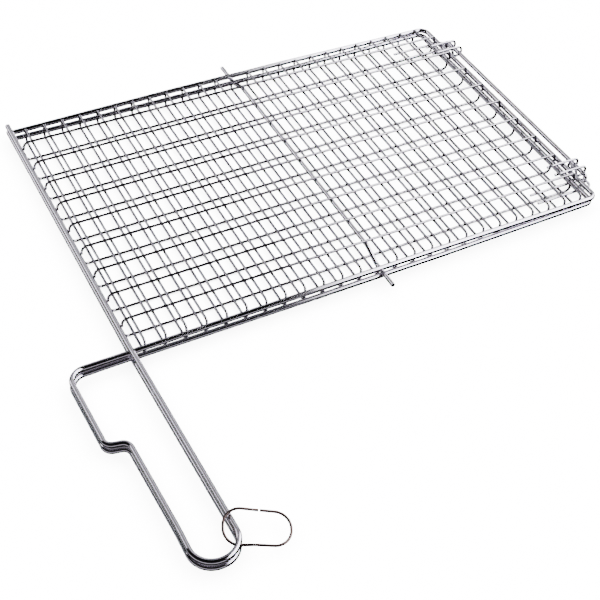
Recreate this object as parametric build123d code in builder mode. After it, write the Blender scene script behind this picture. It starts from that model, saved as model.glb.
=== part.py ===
"""Hinged wire grill basket: two mesh halves with loop handles that close on the food.

The halves lie one on the other, mirrored about the plane between them. The basket opens like a
book about the hinge pin along its right-hand side, and a slip ring rides on the upper handle.
Millimetres, +Z up, handles toward -Y. Positions are laid out from the basket's front left corner
and moved so that the origin is under the middle of the whole object, on the surface it rests on.
"""
from build123d import *
import math
import os

os.makedirs("parts", exist_ok=True)

# ---- wire sizes ----
FRAME_D = 4.2           # frames and handles
MESH_D = 2.0            # both layers of mesh wire
ROD_D = 3.4             # support rod across the middle
CLIP_D = 2.2            # hinge clips
PIN_D = 3.8             # hinge pin
RING_D = 1.8            # slip ring
WELD = 0.1              # how far two welded wires sink into each other

# ---- mesh ----
PITCH = 16.0            # spacing of the cross wires
CROSS_COUNT = 25
ROD_PLACE = 13          # the rod takes this cross wire's place in the upper half
LONG_PITCH = 27.77      # spacing of the long wires
LONG_COUNT = 9
CROSS_Z = 7.1           # height of the cross wires above the parting plane
LONG_Z = CROSS_Z + MESH_D - WELD
CROSS_END_Z = 1.7
LONG_END_Z = 1.3

# ---- frames: each bar's bends as (x, y), with the height of the wire at each ----
HINGE_BAR_X = {1: 414.0, -1: 411.7}     # bars on the hinge side: upper, lower
NEAR_BENDS = [(5.0, 1.2), (150.0, 0.8), (265.0, 1.0), (412.0, 1.6)]
FAR_BENDS = [(5.0, 274.5), (150.0, 275.2), (265.0, 274.6), (412.0, 272.9)]
NEAR_CORNER_R = 6.5
FAR_CORNER_R = 7.5
HANDLE_Z = 3.3          # height of the handle wire above the parting plane
SHORT_BAR_Z = 2.8
MIDDLE_Z = 3.9          # frame bars spread to this height round the support rod
HINGE_Z = 2.3           # and close to this height along the hinge

# ---- handles ----
BAR_TIP = (4.6, 285.0)  # far end of the straight bar
BAR_KNEE = (5.0, 8.0)   # it turns a little outwards here
BAR_FOOT = (9.45, -179.2)
GRIP_LEFT = -23.4
GRIP_R = 15.6
STEP_IN = (-26.1, -71.8)
STEP_OUT = (-40.9, -68.6)
STEP_R = 6.2
SHORT_BAR = (-43.0, 1.2)
SHORT_BAR_R = 12.0

# ---- support rod ----
ROD_Z = LONG_Z - MESH_D / 2 - ROD_D / 2 + WELD
ROD_TIP_Z = 0.2
ROD_X = PITCH * ROD_PLACE + 1.3
ROD_FRONT_TIP = -16.0
ROD_BACK_TIP = 294.5

# ---- hinge ----
PIN_X = 425.5           # the upper half turns about this line, at the parting plane
PIN_HOOKS = (28.6, 249.1)               # where the pin's ends turn down
PIN_TAIL = (-3.9, -0.6, -9.0)           # from the hook to the tip of the turned-down end
LOOP_X = 426.65         # closed end of the lower clips, the pin's ends hooked inside
LOOP_R = 5.0
EYE_R = 4.3             # centreline radius of the upper clips' eyes
CLIP_LEG_Z = CROSS_Z - MESH_D / 2 - CLIP_D / 2 + WELD
CLIP_BAR_Z = HINGE_Z + FRAME_D / 2 + CLIP_D / 2 - WELD
BASKET_MID_Y = 138.85   # the far clips mirror the near ones about this line

# ---- slip ring ----
RING_AT = (21.6, -167.0)
RING_TURN = -24.3       # degrees, of its long axis
RING_HALF = 21.5
RING_HALF_W = 11.0
RING_CORNER_R = 10.8
RING_GAP = 1.2

# ---- origin ----
ORIGIN_X = 193.083
ORIGIN_Y = 55.635
REST_Z = LONG_Z + MESH_D / 2


def between(bends, x):
    """Second coordinate at x on the line through the bends."""
    for (x0, y0), (x1, y1) in zip(bends, bends[1:]):
        if x <= x1:
            break
    return y0 + (y1 - y0) * (x - x0) / (x1 - x0)


def bar_x(y):
    """Centre of the straight bar at y."""
    bends = [(-point[1], point[0]) for point in (BAR_TIP, BAR_KNEE, BAR_FOOT)]
    return between(bends, -y)


def place(point, side=1):
    """A point of the layout in the part's own frame; side -1 is the lower half."""
    x, y, z = point
    return (x - ORIGIN_X, y - ORIGIN_Y, REST_Z + side * z)


def bend(points, radii, diameter, side=1):
    """One round wire bent along the points, added to the part being built."""
    placed = [place(point, side) for point in points]
    with BuildLine() as path:
        FilletPolyline(*placed, radius=radii)
    start = path.line @ 0
    with BuildSketch(Plane(origin=start, z_dir=path.line % 0)) as section:
        Circle(diameter / 2)
    sweep(section.sketch, path=path.line)


def frame_wire(side, handle):
    """Near bar, hinge bar and far bar in one bent wire, coped to the handle wire at both ends."""
    near_y = [y for x, y in NEAR_BENDS]
    far_y = [y for x, y in FAR_BENDS]
    left, middle = NEAR_BENDS[1][0], NEAR_BENDS[2][0]
    hinge = HINGE_BAR_X[side]
    points = [(bar_x(near_y[0]) + 0.6, near_y[0], HANDLE_Z)]
    points += [(left, near_y[1], MIDDLE_Z), (middle, near_y[2], MIDDLE_Z)]
    points += [(hinge, near_y[3], HINGE_Z), (hinge, far_y[3], HINGE_Z)]
    points += [(middle, far_y[2], MIDDLE_Z), (left, far_y[1], MIDDLE_Z)]
    points += [(bar_x(far_y[0]) + 0.6, far_y[0], HANDLE_Z)]
    radii = [400, 400, NEAR_CORNER_R, FAR_CORNER_R, 400, 400]
    with BuildPart() as wire:
        bend(points, radii, FRAME_D, side)
        add(handle, mode=Mode.SUBTRACT)
    return wire.part


def handle_wire(side):
    """Straight bar, grip loop, finger step and short bar back to the straight bar."""
    split_y = -32.0
    split_x = between([(-68.7, STEP_OUT[0]), (1.2, SHORT_BAR[0])], split_y)
    with BuildPart() as wire:
        loop = [BAR_TIP, BAR_KNEE, BAR_FOOT, (GRIP_LEFT, BAR_FOOT[1])]
        loop += [(GRIP_LEFT, -147.0), STEP_IN, STEP_OUT, (split_x, split_y)]
        points = [(x, y, HANDLE_Z) for x, y in loop]
        bend(points, [400, GRIP_R, GRIP_R, 80, STEP_R, STEP_R], FRAME_D, side)
        points = [(split_x, split_y, HANDLE_Z), (*SHORT_BAR, HANDLE_Z)]
        points += [(bar_x(SHORT_BAR[1]) - 0.6, SHORT_BAR[1], SHORT_BAR_Z)]
        bend(points, [SHORT_BAR_R], FRAME_D, side)
    return wire.part


def long_wire(side, place_number):
    """One outer mesh wire from the straight bar to the hinge bar, its ends bent down to them."""
    y = LONG_PITCH * (LONG_COUNT + 1 - place_number)
    reach = FRAME_D / 2 + MESH_D / 2 - WELD
    left = bar_x(y) + reach
    right = HINGE_BAR_X[side] - reach
    points = [(left, y, 2.4), (left, y, LONG_Z), (right, y, LONG_Z), (right, y, LONG_END_Z)]
    with BuildPart() as wire:
        bend(points, [5.0, 4.0], MESH_D, side)
    return wire.part


def cross_wires(side, places):
    """A bank of inner mesh wires, each bent down to the near and far bars."""
    reach = FRAME_D / 2 + MESH_D / 2 - WELD
    with BuildPart() as bank:
        for j in places:
            x = PITCH * j
            near = between(NEAR_BENDS, x) + reach
            far = between(FAR_BENDS, x) - reach
            points = [(x, near, CROSS_END_Z), (x, near, CROSS_Z)]
            points += [(x, far, CROSS_Z), (x, far, CROSS_END_Z)]
            bend(points, [2.5, 2.5], MESH_D, side)
    return bank.part


def loop_clip(first_y, second_y):
    """A flat hairpin of the lower half, its closed end past the hinge bar."""
    legs = []
    for y in (first_y, second_y):
        leg = [(371.5, y, CLIP_LEG_Z), (401.0, y, CLIP_LEG_Z)]
        leg += [(411.2, y, CLIP_BAR_Z), (LOOP_X, y, CLIP_BAR_Z)]
        legs.append(leg)
    with BuildPart() as clip:
        bend(legs[0] + legs[1][::-1], [60, 60, LOOP_R, LOOP_R, 60, 60], CLIP_D, -1)
    return clip.part


def eye_clip(first_y, second_y):
    """A hairpin of the upper half, its closed end curled round the pin."""
    legs = []
    for y in (first_y, second_y):
        leg = [(397.0, y, CLIP_LEG_Z), (404.0, y, CLIP_LEG_Z), (414.5, y, CLIP_BAR_Z)]
        leg += [(PIN_X + EYE_R, y, EYE_R), (PIN_X + EYE_R, y, -EYE_R)]
        leg += [(PIN_X - EYE_R, y, -EYE_R), (PIN_X - EYE_R - 1.5, y, 3.2)]
        legs.append(leg)
    curl = EYE_R - 0.15
    bends = [60, 60, curl, curl, curl - 0.5, 3.2]
    with BuildPart() as clip:
        bend(legs[0] + legs[1][::-1], bends + bends[::-1], CLIP_D, 1)
    return clip.part


def ring_point(along, across, z):
    """A point on the slip ring, from its centre along and across its long axis."""
    turn = math.radians(RING_TURN)
    x = RING_AT[0] + along * math.cos(turn) - across * math.sin(turn)
    y = RING_AT[1] + along * math.sin(turn) + across * math.cos(turn)
    return (x, y, z)


# ---- handles, then the frames coped to them ----
upper_handle_wire = handle_wire(1)
upper_handle_wire.label = "upper_handle_wire"
export_step(upper_handle_wire, "parts/upper_handle_wire.step")

lower_handle_wire = handle_wire(-1)
lower_handle_wire.label = "lower_handle_wire"
export_step(lower_handle_wire, "parts/lower_handle_wire.step")

upper_frame_wire = frame_wire(1, upper_handle_wire)
upper_frame_wire.label = "upper_frame_wire"
export_step(upper_frame_wire, "parts/upper_frame_wire.step")

lower_frame_wire = frame_wire(-1, lower_handle_wire)
lower_frame_wire.label = "lower_frame_wire"
export_step(lower_frame_wire, "parts/lower_frame_wire.step")

# ---- mesh: nine long wires and four banks of cross wires in each half ----
banks = [range(1, 7), range(7, 14), range(14, 20), range(20, CROSS_COUNT + 1)]
for half, side in (("upper", 1), ("lower", -1)):
    for number in range(1, LONG_COUNT + 1):
        wire = long_wire(side, number)
        wire.label = f"{half}_long_wire_{number}"
        export_step(wire, f"parts/{wire.label}.step")
    for number, bank in enumerate(banks, start=1):
        places = [j for j in bank if half == "lower" or j != ROD_PLACE]
        wires = cross_wires(side, places)
        wires.label = f"{half}_cross_wires_{number}"
        export_step(wires, f"parts/{wires.label}.step")

# ---- support rod: over the food space, then down and out between the two frames ----
with BuildPart() as support_rod:
    rod_points = [(ROD_X, ROD_FRONT_TIP, ROD_TIP_Z), (ROD_X, 9.5, ROD_TIP_Z)]
    rod_points += [(ROD_X, 25.0, ROD_Z), (ROD_X, 252.5, ROD_Z)]
    rod_points += [(ROD_X, 268.0, ROD_TIP_Z), (ROD_X, ROD_BACK_TIP, ROD_TIP_Z)]
    bend(rod_points, 8.0, ROD_D)
support_rod.part.label = "support_rod"
export_step(support_rod.part, "parts/support_rod.step")

# ---- hinge clips: flat loops on the lower half, eyes round the pin on the upper ----
clip_rows = [("lower", loop_clip, 21.0, 32.0), ("upper", eye_clip, 36.0, 47.0)]
for half, make_clip, first_y, second_y in clip_rows:
    near_clip = make_clip(first_y, second_y)
    near_clip.label = f"{half}_hinge_clip_near"
    export_step(near_clip, f"parts/{near_clip.label}.step")
    far_clip = make_clip(2 * BASKET_MID_Y - second_y, 2 * BASKET_MID_Y - first_y)
    far_clip.label = f"{half}_hinge_clip_far"
    export_step(far_clip, f"parts/{far_clip.label}.step")

# ---- hinge pin: both ends turned down through the lower clips' loops ----
with BuildPart() as hinge_pin:
    tail_x, tail_y, tail_z = PIN_TAIL
    pin_points = [(PIN_X + tail_x, PIN_HOOKS[0] + tail_y, tail_z), (PIN_X, PIN_HOOKS[0], 0)]
    pin_points += [(PIN_X, PIN_HOOKS[1], 0), (PIN_X + tail_x, PIN_HOOKS[1] - tail_y, tail_z)]
    bend(pin_points, 3.5, PIN_D)
hinge_pin.part.label = "hinge_pin"
export_step(hinge_pin.part, "parts/hinge_pin.step")

# ---- slip ring: over the upper grip wire and back between the two grips ----
with BuildPart() as slip_ring:
    ring_points = [ring_point(2.0 - RING_GAP, RING_HALF_W, 4.9)]
    ring_points += [ring_point(-RING_HALF, RING_HALF_W, 9.8)]
    ring_points += [ring_point(-RING_HALF, -RING_HALF_W, -0.05)]
    ring_points += [ring_point(-2.0, -RING_HALF_W, -0.05)]
    ring_points += [ring_point(RING_HALF, -RING_HALF_W, -3.0)]
    ring_points += [ring_point(RING_HALF, RING_HALF_W, 1.0)]
    ring_points += [ring_point(2.0, RING_HALF_W, 4.7)]
    corner = RING_CORNER_R
    bend(ring_points, [corner, corner, 30, corner, corner], RING_D)
slip_ring.part.label = "slip_ring"
export_step(slip_ring.part, "parts/slip_ring.step")
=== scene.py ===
"""A hinged wire grill basket on a pale floor, in soft studio light."""
import math

import bmesh
import bpy
from mathutils import Matrix, Vector

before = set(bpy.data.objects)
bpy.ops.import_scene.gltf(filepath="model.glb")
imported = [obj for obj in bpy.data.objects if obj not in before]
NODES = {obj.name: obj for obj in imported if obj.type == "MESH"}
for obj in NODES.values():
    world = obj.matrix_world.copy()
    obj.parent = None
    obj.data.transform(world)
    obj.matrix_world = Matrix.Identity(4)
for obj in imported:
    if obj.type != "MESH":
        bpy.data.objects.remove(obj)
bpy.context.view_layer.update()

# ---- camera ----
BACK = Vector((-0.3505, -0.6058, 0.7142)).normalized()     # from the aim to the camera
AIM = Vector((-0.0552, -0.0558, 0.0100))
DISTANCE = 0.8744
ROLL = math.radians(3.838)
LENS = 70.416
SENSOR_WIDTH = 36.0
CLIP_START = 0.01

# ---- steel: base colour, roughness and the axis that the wire was drawn along ----
BRIGHT = (0.82, 0.80, 0.86)
STEELS = {
    "frame": ("frame_wire_steel", BRIGHT, 0.06, "X"),
    "handle": ("handle_wire_steel", BRIGHT, 0.07, "Y"),
    # The long, cross and clip wires are the same bright steel as the frame. Their darker base
    # colours are painted shade, standing in for the dark room that they reflect.
    "long": ("long_wire_steel", (0.31, 0.30, 0.325), 0.06, "X"),
    "cross": ("cross_wire_steel", (0.36, 0.35, 0.38), 0.09, "Y"),
    "clip": ("clip_wire_steel", (0.56, 0.55, 0.59), 0.10, "X"),
    "pin": ("pin_wire_steel", BRIGHT, 0.10, "Y"),
    "rod": ("pin_wire_steel", BRIGHT, 0.10, "Y"),
    "ring": ("ring_wire_steel", (0.10, 0.075, 0.07), 0.15, "X"),
}
LINES_ALONG = 30.0          # draw lines per metre along the wire
LINES_ACROSS = 2600.0       # and across it
LINE_DETAIL = 3.0
LINE_STRENGTH = 0.03
LINE_DEPTH = 0.00002
CLOUD_SCALE = 60.0          # cloudy polish: its scale, detail and share of light and dark
CLOUD_DETAIL = 4.0
CLOUD_TINT = 0.03
CLOUD_GLOSS = (0.7, 1.5)    # roughness in the clearest and the dullest cloud, times the steel's own
SMEAR_SCALE = 14.0          # dull smears: their scale, detail, edge, tint and strength
SMEAR_DETAIL = 5.0
SMEAR_GRAIN = 0.65
SMEAR_EDGE = (0.52, 0.72)
SMEAR_TINT = (0.86, 0.80, 0.73)
SMEAR_STRENGTH = 0.12
SMEAR_ROUGHNESS = 0.12

# ---- studio ----
WHITE = 15.0                # brightness of the backdrop and of the lit floor
FLOOR_GREY = 0.945
FLOOR_MOTTLE = 0.015
FLOOR_MOTTLE_SCALE = 40.0
FLOOR_MOTTLE_DETAIL = 2.0
FLOOR_ROUGHNESS = 0.9
FLOOR_SHINE = 0.1
FLOOR_HALF = 40.0
FLOOR_Z = -0.0005
DOME_RADIUS = 30.0
DOME_SEGMENTS = 48
DOME_RINGS = 24
LIGHT_SPREAD = math.radians(90)

# The room that the wires reflect: brightness of each part.
ROOM = {
    "dark": 0.004,
    "right": 9.0,           # pale wall on the right
    "window": 3.5,          # upright window far to the left
    "far_dim": 0.16,        # back wall, just right of the window
    "far": 0.45,            # back wall, left of the middle
    "far_mid": 0.3,         # back wall, right of the middle
    "far_right": 0.8,       # back wall, right end
    "floor": 0.25,          # floor, behind on the left
    "floor_left": 0.5,      # floor, in front, left and middle
}
ROOM_TINT = {"Red": 1.0, "Green": 0.965, "Blue": 1.03}

# Where one part gives way to the next: axis of the direction, start and end of the change.
SEAMS = {
    "right_wall": ("X", 0.34, 0.45),
    "right_wall_overhead": ("X", 0.36, 0.50),
    "overhead": ("Y", 0.25, 0.40),
    "window_left": ("X", -0.66, -0.60),
    "window_right": ("X", -0.48, -0.40),
    "wall_depth": ("Y", 0.56, 0.72),
    "wall_left": ("X", -0.30, 0.05),
    "wall_middle": ("X", 0.10, 0.16),
    "wall_right": ("X", 0.34, 0.42),
    "wall_start": ("Y", 0.44, 0.52),
    "wall_end": ("Y", 0.79, 0.86),
    "near_base": ("Z", 0.38, 0.50),
    "near_base_end": ("Y", 0.00, 0.25),
    "near_floor_right": ("X", 0.30, 0.42),
    "near_floor_low": ("Z", -0.35, -0.25),
    "far_floor_low": ("Z", -0.40, -0.30),
    "far_floor_right": ("X", -0.40, -0.20),
    "far_floor": ("Y", 0.10, 0.30),
    "floor_top": ("Z", 0.15, 0.30),
}


def make_camera():
    """The camera, looking down over the handle side with a slight roll."""
    data = bpy.data.cameras.new("camera")
    data.lens = LENS
    data.sensor_width = SENSOR_WIDTH
    data.clip_start = CLIP_START
    camera = bpy.data.objects.new("camera", data)
    bpy.context.scene.collection.objects.link(camera)
    right = (-BACK).cross(Vector((0, 0, 1))).normalized()
    up = right.cross(-BACK)
    across = math.cos(ROLL) * right + math.sin(ROLL) * up
    upward = -math.sin(ROLL) * right + math.cos(ROLL) * up
    turn = Matrix((across, upward, BACK)).transposed().to_4x4()
    camera.matrix_world = Matrix.Translation(AIM + BACK * DISTANCE) @ turn
    bpy.context.scene.camera = camera


make_camera()


# ---- materials ----
def new_material(name):
    """A new material, its node tree and its shader."""
    material = bpy.data.materials.new(name)
    material.use_nodes = True
    tree = material.node_tree
    return material, tree, tree.nodes["Principled BSDF"]


def noise(tree, vector, scale, detail, roughness=0.5):
    """A noise texture over the vector; returns its output from 0 to 1."""
    node = tree.nodes.new("ShaderNodeTexNoise")
    node.inputs["Scale"].default_value = scale
    node.inputs["Detail"].default_value = detail
    node.inputs["Roughness"].default_value = roughness
    tree.links.new(vector, node.inputs["Vector"])
    return node.outputs["Fac"]


def map_range(tree, value, start=(0.0, 1.0), end=(0.0, 1.0)):
    """The value moved from the range start to the range end."""
    node = tree.nodes.new("ShaderNodeMapRange")
    node.inputs["From Min"].default_value, node.inputs["From Max"].default_value = start
    node.inputs["To Min"].default_value, node.inputs["To Max"].default_value = end
    tree.links.new(value, node.inputs["Value"])
    return node.outputs["Result"]


def math_node(tree, operation, value, number):
    """A math node of a socket and a constant."""
    node = tree.nodes.new("ShaderNodeMath")
    node.operation = operation
    node.inputs[1].default_value = number
    tree.links.new(value, node.inputs[0])
    return node


def colour_mix(tree, first, second, by):
    """A blend of two colours; first may be a socket."""
    node = tree.nodes.new("ShaderNodeMix")
    node.data_type = "RGBA"
    if isinstance(first, bpy.types.NodeSocket):
        tree.links.new(first, node.inputs["A"])
    else:
        node.inputs["A"].default_value = (*first, 1)
    node.inputs["B"].default_value = (*second, 1)
    tree.links.new(by, node.inputs["Factor"])
    return node.outputs["Result"]


def steel(name, colour, rough, grain_axis):
    """Bright drawn wire: fine draw lines along it, a cloudy polish and a few dull smears."""
    material, tree, shader = new_material(name)
    links = tree.links
    coords = tree.nodes.new("ShaderNodeTexCoord").outputs["Object"]

    stretch = tree.nodes.new("ShaderNodeMapping")
    stretch.inputs["Scale"].default_value = tuple(
        LINES_ALONG if axis == grain_axis else LINES_ACROSS for axis in "XYZ")
    links.new(coords, stretch.inputs["Vector"])
    lines = noise(tree, stretch.outputs["Vector"], 1.0, LINE_DETAIL)
    cloud = noise(tree, coords, CLOUD_SCALE, CLOUD_DETAIL)
    blotches = noise(tree, coords, SMEAR_SCALE, SMEAR_DETAIL, SMEAR_GRAIN)
    smear = map_range(tree, blotches, SMEAR_EDGE)

    darker = [part * (1 - CLOUD_TINT) for part in colour]
    lighter = [min(1.0, part * (1 + CLOUD_TINT)) for part in colour]
    stained = [part * share for part, share in zip(colour, SMEAR_TINT)]
    shade = colour_mix(tree, darker, lighter, cloud)
    weak = math_node(tree, "MULTIPLY", smear, SMEAR_STRENGTH).outputs["Value"]
    links.new(colour_mix(tree, shade, stained, weak), shader.inputs["Base Color"])

    dullest = [rough * share for share in CLOUD_GLOSS]
    total = math_node(tree, "MULTIPLY_ADD", smear, SMEAR_ROUGHNESS)
    links.new(map_range(tree, cloud, end=dullest), total.inputs[2])
    links.new(total.outputs["Value"], shader.inputs["Roughness"])

    bump = tree.nodes.new("ShaderNodeBump")
    bump.inputs["Strength"].default_value = LINE_STRENGTH
    bump.inputs["Distance"].default_value = LINE_DEPTH
    links.new(lines, bump.inputs["Height"])
    links.new(bump.outputs["Normal"], shader.inputs["Normal"])
    shader.inputs["Metallic"].default_value = 1.0
    return material


def dress(name, material):
    """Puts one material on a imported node."""
    mesh = NODES[name].data
    if len(mesh.materials) == 0:
        mesh.materials.append(material)
    for index in range(len(mesh.materials)):
        mesh.materials[index] = material


def dress_all():
    """Gives each node the steel that its name asks for."""
    made = {}
    for node in NODES:
        kind = next(kind for kind in STEELS if kind in node)
        values = STEELS[kind]
        if values not in made:
            made[values] = steel(*values)
        dress(node, made[values])


dress_all()


# ---- studio ----
def floor_material():
    """Pale paper with a faint mottle."""
    material, tree, shader = new_material("floor_paper")
    coords = tree.nodes.new("ShaderNodeTexCoord").outputs["Object"]
    darker = [FLOOR_GREY - FLOOR_MOTTLE] * 3
    lighter = [FLOOR_GREY + FLOOR_MOTTLE] * 3
    mottle = noise(tree, coords, FLOOR_MOTTLE_SCALE, FLOOR_MOTTLE_DETAIL)
    shade = colour_mix(tree, darker, lighter, mottle)
    tree.links.new(shade, shader.inputs["Base Color"])
    shader.inputs["Roughness"].default_value = FLOOR_ROUGHNESS
    shader.inputs["Specular IOR Level"].default_value = FLOOR_SHINE
    return material


def make_floor():
    """A wide flat floor just under the basket, which the wires don't reflect."""
    mesh = bpy.data.meshes.new("floor")
    size = FLOOR_HALF
    corners = [(-size, -size, 0), (size, -size, 0), (size, size, 0), (-size, size, 0)]
    mesh.from_pydata(corners, [], [(0, 1, 2, 3)])
    mesh.materials.append(floor_material())
    floor = bpy.data.objects.new("floor", mesh)
    floor.location.z = FLOOR_Z
    bpy.context.scene.collection.objects.link(floor)
    floor.visible_glossy = False


def room_brightness(tree, direction):
    """Brightness of the room in a direction, as a socket."""
    def seam(name):
        axis, start, end = SEAMS[name]
        node = tree.nodes.new("ShaderNodeMapRange")
        node.interpolation_type = "SMOOTHSTEP"
        node.inputs["From Min"].default_value = start
        node.inputs["From Max"].default_value = end
        tree.links.new(direction.outputs[axis], node.inputs["Value"])
        return node.outputs["Result"]

    def blend(before, after, name):
        """before on the low side of the seam, after on the high side: names or sockets."""
        node = tree.nodes.new("ShaderNodeMix")
        for side, value in (("A", before), ("B", after)):
            if isinstance(value, str):
                node.inputs[side].default_value = ROOM[value]
            else:
                tree.links.new(value, node.inputs[side])
        tree.links.new(seam(name), node.inputs["Factor"])
        return node.outputs["Result"]

    front = blend("dark", "right", "right_wall")
    back = blend("dark", "far", "right_wall_overhead")
    overhead = blend(front, back, "overhead")

    wall = blend("dark", "window", "window_left")
    wall = blend(wall, "far_dim", "window_right")
    wall = blend(wall, blend("far", "far_right", "wall_depth"), "wall_left")
    wall = blend(wall, "far_mid", "wall_middle")
    wall = blend(wall, "far_right", "wall_right")

    high = blend(overhead, wall, "wall_start")
    high = blend(high, "dark", "wall_end")
    high = blend(blend("dark", high, "near_base"), high, "near_base_end")

    near_low = blend("floor_left", "dark", "near_floor_right")
    near_low = blend("dark", near_low, "near_floor_low")
    far_low = blend("dark", "floor", "far_floor_low")
    far_low = blend(far_low, "dark", "far_floor_right")
    return blend(blend(near_low, far_low, "far_floor"), high, "floor_top")


def make_world():
    """What the wires reflect: a dark room with pale walls at the right and behind."""
    world = bpy.data.worlds.new("studio")
    bpy.context.scene.world = world
    world.use_nodes = True
    tree = world.node_tree
    coords = tree.nodes.new("ShaderNodeTexCoord")
    direction = tree.nodes.new("ShaderNodeSeparateXYZ")
    tree.links.new(coords.outputs["Generated"], direction.inputs["Vector"])
    level = room_brightness(tree, direction)
    tint = tree.nodes.new("ShaderNodeCombineColor")
    for channel, share in ROOM_TINT.items():
        scaled = math_node(tree, "MULTIPLY", level, share)
        tree.links.new(scaled.outputs["Value"], tint.inputs[channel])
    background = tree.nodes["Background"]
    tree.links.new(tint.outputs["Color"], background.inputs["Color"])
    background.inputs["Strength"].default_value = 1.0


def make_dome():
    """A pale backdrop all round, seen only by the camera."""
    mesh = bpy.data.meshes.new("backdrop")
    ball = bmesh.new()
    bmesh.ops.create_uvsphere(
        ball, u_segments=DOME_SEGMENTS, v_segments=DOME_RINGS, radius=DOME_RADIUS)
    ball.to_mesh(mesh)
    ball.free()
    material, tree, _ = new_material("backdrop_paper")
    glow = tree.nodes.new("ShaderNodeEmission")
    glow.inputs["Strength"].default_value = WHITE
    tree.links.new(glow.outputs["Emission"], tree.nodes["Material Output"].inputs["Surface"])
    mesh.materials.append(material)
    dome = bpy.data.objects.new("backdrop", mesh)
    bpy.context.scene.collection.objects.link(dome)
    dome.visible_glossy = False
    dome.visible_diffuse = False
    dome.visible_shadow = False


def make_light():
    """One broad light from above, which lights the whole floor evenly."""
    data = bpy.data.lights.new("overhead_light", "SUN")
    data.energy = WHITE * math.pi / FLOOR_GREY
    data.angle = LIGHT_SPREAD
    data.use_shadow = False
    light = bpy.data.objects.new("overhead_light", data)
    bpy.context.scene.collection.objects.link(light)
    light.visible_glossy = False


make_floor()
make_dome()
make_world()
make_light()
